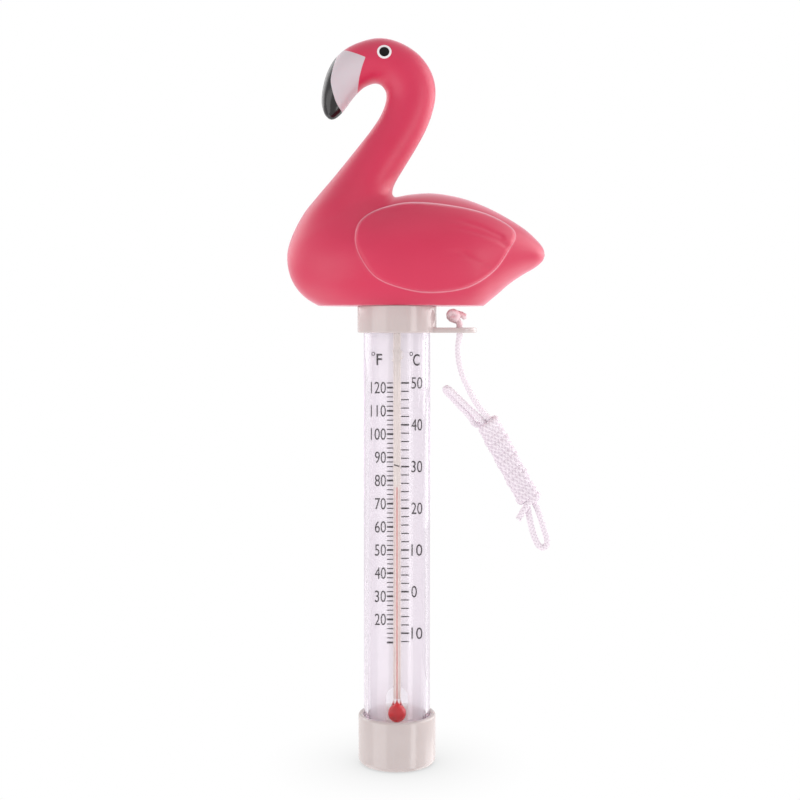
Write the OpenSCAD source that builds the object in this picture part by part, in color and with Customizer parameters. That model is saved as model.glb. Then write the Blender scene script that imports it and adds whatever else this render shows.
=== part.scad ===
// Floating pool thermometer: a hollow flamingo float on a collar, a clear tube with a scale plate and a
// red-spirit capillary, a weighted bottom cap and a wound tether cord. Sizes are in millimetres.
// The tube's axis is Z, the cap's underside is at Z = 0 and the bird looks towards -X.

/* [Tube] */
// Outside diameter of the clear tube
tube_d = 20.2; // [18:0.2:26]
// Wall of the clear tube
tube_wall = 1.4; // [1:0.1:1.8]
// Length of tube in view between the bottom cap and the collar
tube_view = 116; // [105:1:140]

/* [Bottom cap] */
// Height of the bottom cap
cap_h = 15; // [12:0.5:24]
// Wall of the bottom cap round the tube
cap_wall = 1.55; // [1.2:0.05:2.4]
// Floor of the bottom cap
cap_floor = 2; // [1.6:0.1:3]
// Radius of the cap's lower edge
cap_round = 1.6; // [0.6:0.1:1.6]

/* [Collar] */
// Height of the collar between the tube's view and the float
collar_h = 8.2; // [7.6:0.1:14]
// Wall of the collar round the tube
collar_wall = 1.75; // [1.2:0.05:2.6]
// Web that closes the collar over the tube's upper end
collar_web = 2.1; // [1.6:0.1:3]
// Outside diameter of the spigot that plugs the float
spigot_d = 15.6; // [12:0.2:18]
// Wall of the spigot
spigot_wall = 1.6; // [1.2:0.1:2.4]
// Height of the spigot above the collar
spigot_h = 7; // [4:0.5:10]

/* [Tether lug] */
// Distance from the tube's axis to the cord's hole
lug_reach = 19; // [18:0.2:22]
// Width of the lug
lug_w = 10.4; // [8:0.2:13]
// Thickness of the lug
lug_t = 1.6; // [1.2:0.1:2.2]
// Diameter of the cord's hole
lug_hole_d = 3; // [2.6:0.1:4]

/* [Float] */
// Length of the bird from breast to tail
float_l = 78; // [70:1:90]
// Height of the bird from its flat base to the crown of its head
float_h = 80.8; // [72:0.2:92]
// Width of the bird without its wings' relief
float_w = 42; // [36:1:50]
// Wall of the hollow float
float_wall = 2.2; // [1.6:0.1:2.8]
// Height of the wings' relief
wing_rise = 0.9; // [0.4:0.1:1.4]

/* [Scale plate] */
// Width of the scale plate
plate_w = 16.4; // [12:0.1:16.6]
// Thickness of the scale plate
plate_t = 0.8; // [0.5:0.1:1.2]

/* [Capillary] */
// Diameter of the capillary's stem
stem_d = 2.3; // [2:0.1:3.4]
// Diameter of the capillary's bulb
bulb_d = 5.5; // [4.4:0.1:6.4]
// Glass wall of the bulb
bulb_wall = 0.5; // [0.4:0.05:0.7]
// Diameter of the bore that the spirit climbs
bore_d = 0.72; // [0.66:0.02:0.9]
// Height of the top of the spirit over the cap's underside
spirit_z = 84; // [50:1:105]

/* [Weight] */
// Height of the steel ballast weight
ballast_h = 7.5; // [4:0.5:8]
// Thickness of the foam disc under the bulb
cushion_t = 2.8; // [1.6:0.2:4]

/* [Tether] */
// Diameter of the cord
cord_d = 2; // [1.8:0.05:2]
// Clear gap kept between neighbouring strands of the cord
strand_gap = 0.45; // [0.42:0.01:0.6]
// Turns of the winding
winding_turns = 13.5; // [6.5:1:13.5]

/* [Fits] */
// Gap that the adhesive fills in each glued socket, on the radius
glue_gap = 0.15; // [0.05:0.05:0.25]
// Gap between the inner pieces and the tube, on the radius
loose_gap = 0.2; // [0.1:0.05:0.4]
// Gap between the spirit and its glass, on the radius
spirit_gap = 0.06; // [0.04:0.01:0.08]

/* [Hidden] */
$fn = 64;
// Overlap that lets a cut run past the face it opens
past = 1;

// Heights along the tube
collar_z = cap_h + tube_view;
float_z = collar_z + collar_h;
tube_top = float_z - collar_web;
cushion_z = cap_floor + ballast_h;
bulb_z = cushion_z + cushion_t + bulb_d / 2;
head_room = 4;
stem_top = tube_top - head_room;

// Diameters that follow the tube
tube_bore = tube_d - 2 * tube_wall;
socket_d = tube_d + 2 * glue_gap;
cap_d = socket_d + 2 * cap_wall;
collar_d = socket_d + 2 * collar_wall;
inner_d = tube_bore - 2 * loose_gap;
mouth_d = spigot_d + 2 * glue_gap;

// Small rounded edges of the two mouldings
rim_round = 0.4;
collar_round = 0.5;

// Capillary: the neck runs from the bulb to the stem, and the bore ends in a sealed tip
neck_low = 0.6 * bulb_d / 2;
neck_high = 1.65 * bulb_d / 2;
sealed_tip = 2.5;
stem_gap = 0.1;
plate_y = stem_d / 2 + stem_gap;
notch_gap = 0.55;
meniscus_h = 2;
thread_d = bore_d - 2 * spirit_gap;
thread_z = bulb_z + neck_high;
glue_dot_d = 4.6;
glue_dot_drop = 9.2;
glue_skin = 0.03;

// Cord: every strand is a little thinner than the cord, so that neighbours stay clear of each other, and
// the lead, the winding and the bare end meet end to end with a small break
strand_d = cord_d - strand_gap;
knot_neck = 1.6;
knot_lobe_d = 4.1;
knot_end_d = 2.6;
knot_shift = [-1.9, 1.1];
neck_tail = 0.25;
winding_top = [27.6, 0, 103.6];
winding_along = unit([0.48, 0, -0.88]);
winding_across = [-winding_along.z, 0, winding_along.x];
rings_per_turn = 24;
winding_sides = 6;
lead_sides = 8;
strand_break = 0.25;

// Route of the lead: from the lug down the winding's core, round the lower loop, up the core again,
// round the upper fold and to the first turn of the winding
lead_route = [[19, 0, 129.6], [18.6, 0, 126.4], [18.9, 0, 122.4], [20, 0, 118.1], [22.3, 0, 113],
    [24.5, 0, 109.2], [26.7, 0, 106.4], [28.2, 0, 104.5], [29.44, 0, 102.32], [32.31, 0, 97.06],
    [35.18, 0, 91.79], [38.05, 0, 86.52], [40.9, 0, 81.3], [42.4, 0, 78.3], [43.6, 0, 75.2],
    [44.8, 0, 71.4], [45.7, 0, 68.3], [45.7, 0, 66.5], [44.4, 0, 65.5], [42.9, 0, 66.6], [41.7, 0, 69.4],
    [40.8, 0, 72.6], [40.1, 0, 76], [39.4, 0, 79.3], [38.21, 0, 82.05], [36.3, 0, 85.56],
    [33.43, 0, 90.83], [30.55, 0, 96.1], [27.68, 0, 101.37], [26.4, 0.1, 103.6], [24.8, 0.4, 105.4],
    [22.6, 0.5, 107.4], [20.1, 0.4, 109.8], [17.6, 0.2, 112.2], [16, 0, 113.7], [15.1, 0.3, 114.2],
    [14.8, 1, 113.6], [15.3, 1.5, 112.6], [16.7, 1.8, 110.8], [18.5, 2, 108.5], [20.4, 2.1, 106.4],
    [22.1, 2.1, 104.3], [23.4, 2.05, 102.6]];
// Route of the cord's bare end, from the last turn of the winding
tail_route = [[37.9, -2.1, 77.4], [37.8, -2.1, 76], [37.6, -2, 74.6]];

// Size at which the bird's ribs are drawn
drawn_l = 78;
drawn_h = 80.8;
drawn_w = 42;
// The bird's ribs from tail to beak: back line x and z, belly line x and z, half width, over the flat base
bird_ribs = [[44.7, 15.9, 44.6, 14.7, 0.9], [44.3, 17.4, 44, 13.4, 3.2], [42.6, 19.6, 41.8, 11.5, 6.2],
    [39, 22.9, 38, 9.3, 9.4], [34.6, 25.8, 33.8, 6.4, 12.6], [28.5, 29.1, 28.9, 2.2, 16],
    [21.6, 31.9, 23.4, -1.6, 18.7], [15.5, 33.4, 14, -2.8, 20.3], [9.7, 34, 4, -3, 21],
    [4, 33.6, -6, -3, 21], [0.7, 33, -15, -2.4, 20.4], [-0.5, 32.9, -22.3, -0.6, 19.4],
    [-1.1, 33.3, -28.3, 2.9, 18], [-1.4, 33.9, -32, 8, 16.2], [-1.4, 34.6, -33.3, 14.2, 14.2],
    [-1.2, 35.6, -32.2, 20, 12.4], [-0.7, 36.9, -28.6, 27.3, 10.8], [0.2, 38.6, -24, 33.2, 9.4],
    [1.8, 41.2, -19.4, 38.6, 8.3], [3.9, 44.6, -15, 44, 7.5], [6.3, 48.6, -11, 49, 7],
    [8.7, 53.1, -7.6, 53.4, 6.7], [10.5, 57.8, -4.9, 57.6, 6.5], [11.6, 62.8, -3.4, 61.6, 6.4],
    [11.4, 67.4, -3.3, 64.4, 6.6], [9.7, 71.9, -4.4, 66.4, 6.9], [6.2, 76.2, -5.9, 67.3, 7.2],
    [0.8, 79.5, -7.3, 67.3, 7.4], [-5, 80.8, -8.7, 66.8, 7.3], [-10.6, 79.8, -10.3, 65.9, 6.8],
    [-15.4, 77.6, -12, 64.3, 6], [-19, 74.3, -13.6, 62.4, 5.2], [-21.3, 70, -15, 60.5, 4.6],
    [-22.5, 65.4, -16.2, 58.9, 4], [-22.8, 61.4, -17.3, 57.7, 3.3], [-22, 58.2, -18.6, 56.7, 2.2],
    [-20.9, 56.8, -19.5, 56.4, 0.9]];
rib_steps = 2;
crown_steps = 15;
sole_steps = 5;
// The hollow follows the ribs from the root of the tail to the head
hollow_from = 3;
hollow_to = 29;
hollow_crown_steps = 7;
hollow_sole_steps = 3;
// Outline of a wing in the bird's side view, from the breast under the wing and round to the breast again
wing_outline = [[-10.4, 13.4], [-6, 7.8], [1.6, 4.7], [10.2, 3.5], [20.6, 5], [28.4, 9.8], [33.1, 16.4],
    [35.1, 20.6], [33, 23.8], [25.8, 27.2], [15.4, 29.3], [5, 30.2], [-1.4, 29.4], [-7.6, 27],
    [-11.2, 23.6], [-12.1, 18.6]];
wing_centre = [10, 17];
wing_edge = 1.3;

function unit(v) = v / norm(v);

function smoothstep(t) = let (c = min(max(t, 0), 1)) c * c * (3 - 2 * c);

// A smooth curve through the points of list p: part f of the stretch that starts at point i
function curve_at(p, i, f) =
    let (a = p[max(i - 1, 0)], b = p[i], c = p[min(i + 1, len(p) - 1)], d = p[min(i + 2, len(p) - 1)])
    0.5 * (2 * b + (c - a) * f + (2 * a - 5 * b + 4 * c - d) * f * f + (3 * b - a - 3 * c + d) * f * f * f);

function smooth(p, steps) =
    concat([for (i = [0 : len(p) - 2], k = [0 : steps - 1]) curve_at(p, i, k / steps)], [p[len(p) - 1]]);

// Triangles of a skin over rings of n points each, closed at both ends
function skin_faces(rings, n) = concat(
    [for (i = [0 : rings - 2], k = [0 : n - 1], half = [0, 1])
        let (a = i * n + k, b = i * n + (k + 1) % n)
        half == 0 ? [a, b, b + n] : [a, b + n, a + n]],
    [for (k = [1 : n - 2]) [0, k + 1, k]],
    [for (k = [1 : n - 2]) let (z = (rings - 1) * n) [z, z + k, z + k + 1]]);

module skin(rings) {
    n = len(rings[0]);
    polyhedron([for (ring = rings, p = ring) p], skin_faces(len(rings), n));
}

// The direction of travel at each point of a path
function headings(p) =
    [for (i = [0 : len(p) - 1]) unit(p[min(i + 1, len(p) - 1)] - p[max(i - 1, 0)])];

// Normals carried along a path's headings without twisting
function carried(t, i, from) =
    i == len(t) ? [] : let (n = unit(from - (from * t[i]) * t[i])) concat([n], carried(t, i + 1, n));

function tube_rings(path, normals, radii, sides) =
    let (t = headings(path))
    [for (i = [0 : len(path) - 1]) let (n = normals[i], b = unit(cross(n, t[i])))
        [for (k = [0 : sides - 1]) let (turn = 360 * k / sides)
            path[i] + radii[i] * (cos(turn) * n + sin(turn) * b)]];

// A profile with rounded outer corners, to be turned about the axis
module rounded_profile(r, h, low, high) {
    square([r - max(low, high), h]);
    translate([0, low]) square([r, h - low - high]);
    square([r - low, h / 2]);
    translate([0, h / 2]) square([r - high, h / 2]);
    translate([r - low, low]) circle(low);
    translate([r - high, h - high]) circle(high);
}

// The bird: each rib spans the back line and the belly line and swells to its half width
function sized_rib(rib) = [rib[0] * float_l / drawn_l, rib[1] * float_h / drawn_h,
    rib[2] * float_l / drawn_l, rib[3] * float_h / drawn_h, rib[4] * float_w / drawn_w];

function inset_rib(rib, wall) =
    let (along = wall * unit([rib[2] - rib[0], rib[3] - rib[1]]))
    [rib[0] + along.x, rib[1] + along.y, rib[2] - along.x, rib[3] - along.y, rib[4] - wall];

wing_radii = let (polar = [for (p = wing_outline)
        let (d = [p.x * float_l / drawn_l - wing_centre.x, p.y * float_h / drawn_h - wing_centre.y])
        [atan2(d.y, d.x), norm(d)]],
    last = polar[len(polar) - 1])
    concat([[last[0] - 360, last[1]]], polar, [[polar[0][0] + 360, polar[0][1]]]);

// How far the wing stands out of the side at a place in the side view
function wing_relief(x, z) =
    let (d = [x - wing_centre.x, z - wing_centre.y])
    wing_rise * smoothstep((lookup(atan2(d.y, d.x), wing_radii) - norm(d)) / wing_edge);

// One ring of the bird: the crown goes round to the flat sole at height floor_z, cut straight across
function bird_ring(rib, floor_z, crown, sole, winged) =
    let (mid = [(rib[0] + rib[2]) / 2, (rib[1] + rib[3]) / 2],
        up = [rib[0], rib[1]] - mid,
        even = 180 * crown / (crown + sole),
        reach = up.y > 0 ? (floor_z - mid.y) / up.y : -2,
        turn = reach > -1 ? min(acos(reach), even) : even,
        flat = reach > -1 && acos(reach) <= even,
        side = [for (i = [0 : crown + sole])
            let (a = i <= crown ? turn * i / crown : turn + (180 - turn) * (i - crown) / sole,
                on_sole = flat && i > crown,
                c = on_sole ? cos(turn) : cos(a),
                y = on_sole ? rib[4] * sin(turn) * (crown + sole - i) / sole : rib[4] * sin(a),
                x = mid.x + up.x * c,
                z = max(mid.y + up.y * c, floor_z),
                relief = winged && i > 0 && i <= crown ? wing_relief(x, z) : 0)
            [x, -y - relief, z]])
    concat(side, [for (i = [crown + sole - 1 : -1 : 1]) [side[i].x, -side[i].y, side[i].z]]);

outer_ribs = smooth([for (rib = bird_ribs) sized_rib(rib)], rib_steps);
hollow_ribs = [for (i = [hollow_from : hollow_to]) inset_rib(sized_rib(bird_ribs[i]), float_wall)];

module flamingo_float() {
    color("#dc4a68") translate([0, 0, float_z]) difference() {
        skin([for (rib = outer_ribs) bird_ring(rib, 0, crown_steps, sole_steps, true)]);
        skin([for (rib = hollow_ribs)
            bird_ring(rib, float_wall, hollow_crown_steps, hollow_sole_steps, false)]);
        translate([0, 0, -past]) cylinder(d = mouth_d, h = float_wall + 2 * past);
    }
}

// The collar carries the float on its spigot, holds the tube in its socket and bears the tether's lug
module collar() {
    color("#dccdc8") difference() {
        union() {
            translate([0, 0, collar_z])
                rotate_extrude() rounded_profile(collar_d / 2, collar_h, collar_round, rim_round);
            translate([0, 0, float_z - past]) cylinder(d = spigot_d, h = spigot_h + past);
            translate([0, 0, collar_z]) linear_extrude(lug_t) {
                translate([0, -lug_w / 2]) square([lug_reach, lug_w]);
                translate([lug_reach, 0]) circle(d = lug_w);
            }
        }
        translate([0, 0, collar_z - past]) cylinder(d = socket_d, h = tube_top - collar_z + past);
        translate([0, 0, float_z]) cylinder(d = spigot_d - 2 * spigot_wall, h = spigot_h + past);
        translate([lug_reach, 0, collar_z - past]) cylinder(d = lug_hole_d, h = lug_t + 2 * past);
    }
}

module clear_tube() {
    color("#e8e4f2", 0.35) translate([0, 0, cap_floor]) difference() {
        cylinder(d = tube_d, h = tube_top - cap_floor);
        translate([0, 0, -past]) cylinder(d = tube_bore, h = tube_top - cap_floor + 2 * past);
    }
}

// The plate stands on the foam disc behind the capillary, with an arch that clears the bulb
module scale_plate() {
    arch_d = bulb_d + 2 * notch_gap;
    color("#f4f2f6", 0.5) difference() {
        translate([-plate_w / 2, plate_y, cushion_z + cushion_t])
            cube([plate_w, plate_t, tube_top - loose_gap - cushion_z - cushion_t]);
        translate([-arch_d / 2, plate_y - past, cushion_z])
            cube([arch_d, plate_t + 2 * past, thread_z - cushion_z]);
        translate([0, plate_y - past, thread_z])
            rotate([-90, 0, 0]) cylinder(d = arch_d, h = plate_t + 2 * past);
    }
}

// Bulb, neck and stem of the capillary, made larger all round by a skin
module capillary_form(bulb_r, neck_r, stem_r, top) {
    translate([0, 0, bulb_z]) sphere(bulb_r);
    translate([0, 0, bulb_z + neck_low]) cylinder(r1 = neck_r, r2 = stem_r, h = neck_high - neck_low);
    translate([0, 0, thread_z]) cylinder(r = stem_r, h = top - thread_z);
}

function ball_width(r, z) = sqrt(r * r - z * z);

module capillary_glass() {
    hollow_r = bulb_d / 2 - bulb_wall;
    color("#efe6da", 0.6) difference() {
        union() {
            capillary_form(bulb_d / 2, ball_width(bulb_d / 2, neck_low), stem_d / 2, stem_top - stem_d / 2);
            translate([0, 0, stem_top - stem_d / 2]) sphere(stem_d / 2);
        }
        capillary_form(hollow_r, ball_width(hollow_r, neck_low), bore_d / 2, stem_top - sealed_tip);
    }
}

module bulb_spirit() {
    fill_r = bulb_d / 2 - bulb_wall - spirit_gap;
    color("#c21f2c") {
        translate([0, 0, bulb_z]) sphere(fill_r);
        translate([0, 0, bulb_z + neck_low])
            cylinder(r1 = ball_width(fill_r, neck_low), r2 = thread_d / 2, h = neck_high - neck_low);
    }
}

// The column stands on the bulb's spirit, and its top is a piece of its own that rises and falls
module spirit_thread() {
    color("#d22a38") translate([0, 0, thread_z])
        cylinder(d = thread_d, h = spirit_z - meniscus_h - thread_z);
}

module spirit_meniscus() {
    color("#d22a38") translate([0, 0, spirit_z - meniscus_h]) cylinder(d = thread_d, h = meniscus_h);
}

// A bead of clear adhesive round the stem, flat where it holds the stem to the plate
module glue_dot() {
    color("#eef2f4", 0.6) translate([0, 0, stem_top - glue_dot_drop]) difference() {
        sphere(d = glue_dot_d);
        cylinder(d = stem_d + 2 * glue_skin, h = glue_dot_d + past, center = true);
        translate([-glue_dot_d / 2, plate_y, -glue_dot_d / 2]) cube(glue_dot_d);
    }
}

module bottom_cap() {
    color("#d8cac6") difference() {
        rotate_extrude() rounded_profile(cap_d / 2, cap_h, cap_round, rim_round);
        translate([0, 0, cap_floor]) cylinder(d = socket_d, h = cap_h);
    }
}

module ballast_weight() {
    color("#8d9093") translate([0, 0, cap_floor])
        rotate_extrude() rounded_profile(inner_d / 2, ballast_h, rim_round, rim_round);
}

module bulb_cushion() {
    color("#e6e2d6") translate([0, 0, cushion_z]) cylinder(d = inner_d, h = cushion_t);
}

// The stopper knot over the lug, with its neck of cord down through the hole
module tether_knot() {
    lobe_z = lug_t + knot_neck + knot_lobe_d / 2;
    color("#efe3ea") translate([lug_reach, 0, collar_z]) {
        translate([0, 0, -neck_tail]) cylinder(d = cord_d, h = lobe_z + neck_tail);
        translate([knot_shift[0], 0, lobe_z]) sphere(d = knot_lobe_d);
        translate([knot_shift[1], 0, lobe_z]) sphere(d = knot_end_d);
        translate([0, 0, lobe_z]) rotate([0, 75, 0])
            rotate_extrude() translate([cord_d / 2, 0]) circle(d = cord_d);
    }
}

// The winding: an oblong helix over two core strands that lie one cord apart
winding_r = cord_d;
core_half = cord_d / 2;
turn_length = 2 * PI * winding_r + 4 * core_half;

// Place on one oblong turn, across and in depth, and its outward direction, at s along it from the back
function oblong(s) =
    let (bend = PI * winding_r)
    s < core_half ? [s, winding_r, 0, 1] :
    s < core_half + bend ? bend_place(90 - 180 * (s - core_half) / bend, core_half) :
    s < 3 * core_half + bend ? [2 * core_half + bend - s, -winding_r, 0, -1] :
    s < 3 * core_half + 2 * bend ? bend_place(-90 - 180 * (s - 3 * core_half - bend) / bend, -core_half) :
    [s - turn_length, winding_r, 0, 1];

function bend_place(a, x) = [x + winding_r * cos(a), winding_r * sin(a), cos(a), sin(a)];

function winding_place(turn) =
    let (o = oblong((turn - floor(turn)) * turn_length))
    winding_top + winding_along * turn * cord_d + winding_across * o[0] + [0, o[1], 0];

function winding_normal(turn) =
    let (o = oblong((turn - floor(turn)) * turn_length)) winding_across * o[2] + [0, o[3], 0];

winding_rings = round(winding_turns * rings_per_turn);
winding_turned = [for (i = [0 : winding_rings]) winding_place(i / rings_per_turn)];
winding_heads = headings(winding_turned);
winding_start = winding_turned[0] - strand_d * winding_heads[0];
winding_end = winding_turned[winding_rings] + strand_d * winding_heads[winding_rings];

module tether_winding() {
    path = concat([winding_start], winding_turned, [winding_end]);
    normals = concat([winding_normal(0)], [for (i = [0 : winding_rings]) winding_normal(i / rings_per_turn)],
        [winding_normal(winding_turns)]);
    color("#efe3ea") skin(tube_rings(path, normals, [for (p = path) strand_d / 2], winding_sides));
}

// Least gap between neighbouring turns, from the points of the winding's path
winding_gap = min([for (i = [0 : winding_rings - rings_per_turn / 2],
        j = [i + rings_per_turn / 2 : min(i + 2 * rings_per_turn, winding_rings)])
    norm(winding_turned[i] - winding_turned[j])]) - strand_d;
echo(winding_gap = winding_gap);

// Points of a short straight stretch that goes on from an end of the winding, with parallel cut faces
function straight_end(p, heading, lengths) =
    [for (l = lengths) p + (strand_break + l * strand_d) * heading];

// The lead hangs from a rounded end under the lug, so that it can swing there
lead_dome = [[0.95, 0.25], [0.7, 0.7]];

module tether_lead() {
    path = concat([for (d = lead_dome) lead_route[0] + [0, 0, d[0] * strand_d / 2]],
        smooth(concat(lead_route, straight_end(winding_start, -winding_heads[0], [1, 0])), rib_steps));
    radii = [for (i = [0 : len(path) - 1]) strand_d / 2 * (i < len(lead_dome) ? lead_dome[i][1] : 1)];
    color("#efe3ea") skin(tube_rings(path, carried(headings(path), 0, [0, 1, 0]), radii, lead_sides));
}

module tether_tail() {
    path = smooth(concat(straight_end(winding_end, winding_heads[winding_rings], [0, 0.6]), tail_route),
        rib_steps);
    color("#efe3ea") skin(tube_rings(path, carried(headings(path), 0, [0, 1, 0]),
        [for (p = path) strand_d / 2], lead_sides));
}

flamingo_float();
collar();
clear_tube();
scale_plate();
capillary_glass();
bulb_spirit();
spirit_thread();
spirit_meniscus();
glue_dot();
bottom_cap();
ballast_weight();
bulb_cushion();
tether_knot();
tether_lead();
tether_winding();
tether_tail();
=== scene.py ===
# Floating pool thermometer: a pink flamingo float over a clear tube with a spirit capillary, a weighted cap
# and a wound tether cord. Lengths in the sections are millimetres, and every mesh is written in metres.
import math
import bpy
import numpy as np
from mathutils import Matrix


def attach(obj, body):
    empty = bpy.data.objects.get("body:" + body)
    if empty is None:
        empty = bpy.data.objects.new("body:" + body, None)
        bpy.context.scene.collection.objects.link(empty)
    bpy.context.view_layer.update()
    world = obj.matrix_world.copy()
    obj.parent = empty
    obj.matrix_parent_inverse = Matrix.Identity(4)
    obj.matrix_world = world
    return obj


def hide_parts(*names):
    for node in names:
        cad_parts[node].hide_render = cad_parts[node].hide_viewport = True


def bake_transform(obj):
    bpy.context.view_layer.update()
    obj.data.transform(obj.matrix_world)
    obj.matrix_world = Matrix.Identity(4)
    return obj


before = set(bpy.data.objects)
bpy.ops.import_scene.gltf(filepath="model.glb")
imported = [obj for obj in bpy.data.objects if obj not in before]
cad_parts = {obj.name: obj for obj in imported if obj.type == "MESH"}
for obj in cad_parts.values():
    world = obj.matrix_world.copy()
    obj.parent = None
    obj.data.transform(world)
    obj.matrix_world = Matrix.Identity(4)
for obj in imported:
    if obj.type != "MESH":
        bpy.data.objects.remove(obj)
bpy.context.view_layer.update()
scene = bpy.context.scene


# Camera: level with the underside of the float and about 40 cm in front of it, so that the cap's
# underside and the crown of the head are both seen edge on.
lens_body = bpy.data.cameras.new("camera")
lens_body.sensor_width = 36
lens_body.lens = 59.21
lens_body.shift_y = -0.0495
lens_body.clip_start = 0.02
camera = bpy.data.objects.new("camera", lens_body)
camera.location = (0.000914, -0.4, 0.13137)
camera.rotation_euler = (math.radians(90 - 1.25), 0, 0)
scene.collection.objects.link(camera)
scene.camera = camera
scene.view_settings.view_transform = "Standard"


# Tether cord: one length of 2 mm white braid, knotted over the collar's lug. It hangs from the lug, is laid
# up in two loops, and its last stretch is wound round them in a neat bundle that leaves the bare end free.
cord_d, cord_around, cord_step, knot_step = 2.0, 20, 0.2, 0.22


# A smooth line through given points
def smooth_route(points, steps):
    p = np.array(points, float)
    before, after = np.vstack([p[:1], p[:-2]]), np.vstack([p[2:], p[-1:]])
    f = (np.arange(steps) / steps)[None, :, None]
    a, b, c, d = (q[:, None, :] for q in (before, p[:-1], p[1:], after))
    run = 0.5 * (2 * b + (c - a) * f + (2 * a - 5 * b + 4 * c - d) * f ** 2 + (3 * b - a - 3 * c + d) * f ** 3)
    return np.vstack([run.reshape(-1, p.shape[1]), p[-1:]])


# A route cut into even steps, with how far along it each step is
def even_steps(route, step):
    far = np.concatenate([[0], np.cumsum(np.linalg.norm(np.diff(route, axis=0), axis=1))])
    at = np.linspace(0, far[-1], max(2, int(round(far[-1] / step)) + 1))
    return np.stack([np.interp(at, far, route[:, k]) for k in range(3)], axis=1), at


# A smooth mesh from points in millimetres, with edges kept sharp above an angle
def mesh_piece(name, points_mm, faces, material, sharp_deg=None):
    mesh = bpy.data.meshes.new(name)
    mesh.from_pydata((np.asarray(points_mm, float) * 0.001).tolist(), [], faces)
    mesh.polygons.foreach_set("use_smooth", [True] * len(mesh.polygons))
    if sharp_deg is not None:
        mesh.set_sharp_from_angle(angle=math.radians(sharp_deg))
    mesh.materials.append(material)
    piece = bpy.data.objects.new(name, mesh)
    scene.collection.objects.link(piece)
    return piece


def mark_points(piece, name, values):
    piece.data.attributes.new(name, "FLOAT", "POINT").data.foreach_set("value", values)


# Faces of a closed skin over rings of points
def skin_faces(rings, around, first=0):
    faces = []
    for i in range(rings - 1):
        for k in range(around):
            a, b = first + i * around + k, first + i * around + (k + 1) % around
            faces.append((a, b, b + around, a + around))
    faces.append(tuple(first + k for k in reversed(range(around))))
    faces.append(tuple(first + (rings - 1) * around + k for k in range(around)))
    return faces


# Rings of a braided cord along a route, with the height of the braid at each point
def braid_rings(route, at, radius, around, pressed=None):
    yarns_round, braid_pitch, braid_deep, crossing, blunt, tip_share = 4, 1.1, 0.16, 0.7, 0.5, 0.12
    heading = np.gradient(route, axis=0)
    heading /= np.linalg.norm(heading, axis=1)[:, None]
    side = np.zeros_like(route)
    last = np.array([0.13, 0.97, 0.2])
    for i, t in enumerate(heading):
        last = last - (last @ t) * t
        last /= np.linalg.norm(last)
        side[i] = last
    other = np.cross(heading, side)
    turn = np.arange(around) * 2 * np.pi / around
    u, v = yarns_round * turn[None, :] / (2 * np.pi), at[:, None] / braid_pitch
    left, right = u + v, u - v
    rise_l, rise_r = 0.5 - 0.5 * np.cos(2 * np.pi * left), 0.5 - 0.5 * np.cos(2 * np.pi * right)
    over = (np.floor(left) + np.floor(right)) % 2 < 1
    braid = np.where(over, np.maximum(rise_l, crossing * rise_r), np.maximum(rise_r, crossing * rise_l))
    r = radius * (1 - braid_deep + braid_deep * braid)
    end = np.clip(np.minimum(at, at[-1] - at) / (blunt * radius), 0, 1)
    r *= np.sqrt(np.clip(1 - (1 - end) ** 2, tip_share, 1))[:, None]
    across, up = np.cos(turn)[None, :, None] * side[:, None, :], np.sin(turn)[None, :, None] * other[:, None, :]
    out = r[:, :, None] * (across + up)
    if pressed is not None:
        share, line = pressed
        out += share[:, None, None] * (out @ line)[:, :, None] * line
    return (route[:, None, :] + out).reshape(-1, 3), braid.reshape(-1)


# A new finish and its nodes
def new_finish(name):
    finish = bpy.data.materials.new(name)
    finish.use_nodes = True
    return finish, finish.node_tree.nodes


# Sets a node's sockets, each to a value or to what another node gives
def feed(node, values):
    for socket, value in values.items():
        if isinstance(value, bpy.types.NodeSocket):
            node.id_data.links.new(value, node.inputs[socket])
        else:
            node.inputs[socket].default_value = value
    return node


# Noise on the piece's own place, drawn out where a stretch is given
def noise(n, scale, detail=2, stretch=None):
    place = n.new("ShaderNodeTexCoord").outputs["Object"]
    if stretch is not None:
        place = feed(n.new("ShaderNodeMapping"), {"Vector": place, "Scale": stretch}).outputs["Vector"]
    return feed(n.new("ShaderNodeTexNoise"), {"Vector": place, "Scale": scale, "Detail": detail}).outputs["Fac"]


def mixed(n, factor, low, high, kind="RGBA"):
    mix = n.new("ShaderNodeMix")
    mix.data_type = kind
    return feed(mix, {"Factor": factor, "A": low, "B": high}).outputs["Result"]


def maths(n, operation, first, second):
    step = n.new("ShaderNodeMath")
    step.operation = operation
    return feed(step, {0: first, 1: second}).outputs["Value"]


def ranged(n, value, to, start=(0, 1), kind="LINEAR"):
    span = n.new("ShaderNodeMapRange")
    span.interpolation_type = kind
    feed(span, {"Value": value, "From Min": start[0], "From Max": start[1], "To Min": to[0], "To Max": to[1]})
    return span.outputs["Result"]


def bumped(n, height, strength, distance, over=None):
    bump = feed(n.new("ShaderNodeBump"), {"Height": height, "Strength": strength, "Distance": distance})
    if over is not None:
        feed(bump, {"Normal": over})
    return bump.outputs["Normal"]


# What a mesh attribute gives at each point
def point_mark(n, name):
    mark = n.new("ShaderNodeAttribute")
    mark.attribute_name = name
    return mark.outputs["Fac"]


def colour_steps(n, value, stops):
    steps = feed(n.new("ShaderNodeValToRGB"), {"Fac": value})
    for k, (at, tint) in enumerate(stops):
        stop = steps.color_ramp.elements[k] if k < 2 else steps.color_ramp.elements.new(at)
        stop.position, stop.color = at, tint
    return steps.outputs


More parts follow.
